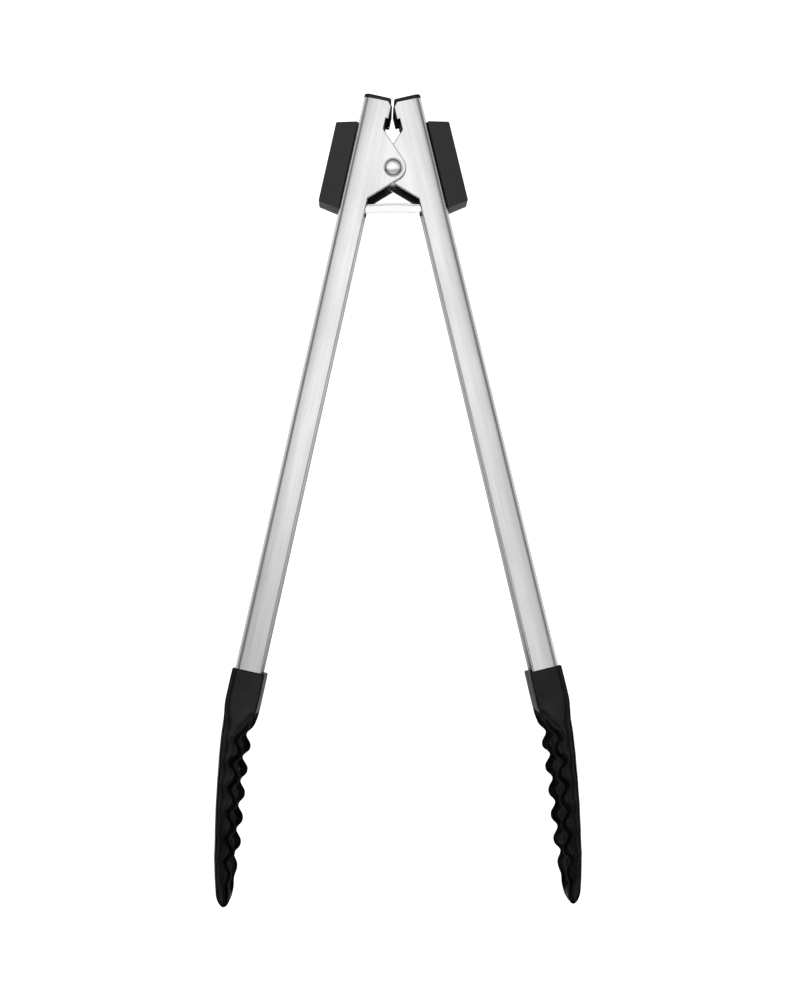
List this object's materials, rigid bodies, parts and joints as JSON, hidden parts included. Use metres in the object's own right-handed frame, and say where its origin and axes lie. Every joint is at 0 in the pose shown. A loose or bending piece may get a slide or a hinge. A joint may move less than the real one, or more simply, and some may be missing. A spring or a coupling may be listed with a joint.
{
  "type": "kitchen tongs",
  "caption": "Spring loaded kitchen tongs: channel arms that cross at a rivet, side grip pads, a leaf spring and scalloped scoop heads that close together.",
  "frame": {"origin": "centre of the bounding box's bottom, on the surface that the open tongs lie on, flat on one side", "axes": "+Y from the heads to the hinge end, +Z along the hinge rivet, away from the surface, +X from the left arm to the right arm"},
  "size_m": [0.1352, 0.3012, 0.044],
  "materials": {
    "brushed_steel_sheet": "fine lengthwise brushing",
    "polished_steel": "polished",
    "spring_steel": "smooth rolled strip",
    "inner_steel": "plain",
    "pad_rubber": "matt, fine moulded grain",
    "cap_plastic": "satin moulded",
    "head_silicone": "satin moulded",
    "inner_nylon": "plain moulded"
  },
  "bodies": {
    "left_side": {"left_arm": "brushed_steel_sheet", "left_grip_pad": "pad_rubber", "left_pad_carrier": "inner_nylon", "left_end_cap": "cap_plastic", "left_head": "head_silicone", "left_head_core": "inner_nylon", "left_head_rivet": "inner_steel", "hinge_rivet": "polished_steel", "hinge_washer": "polished_steel", "spacer_sleeve": "inner_steel", "spring_strip": "spring_steel"},
    "right_side": {"right_arm": "brushed_steel_sheet", "right_grip_pad": "pad_rubber", "right_pad_carrier": "inner_nylon", "right_end_cap": "cap_plastic", "right_head": "head_silicone", "right_head_core": "inner_nylon", "right_head_rivet": "inner_steel"}
  },
  "joints": [
    {"name": "arm_hinge", "type": "hinge", "parent": "left_side", "child": "right_side", "pos_m": [0, 0.12228, 0.022], "axis": [0, 0, -1], "range_deg": [0, 25.5], "stiffness_Nm_per_rad": 1.5, "springref_deg": -5, "deforming": ["spring_strip"]}
  ]
}
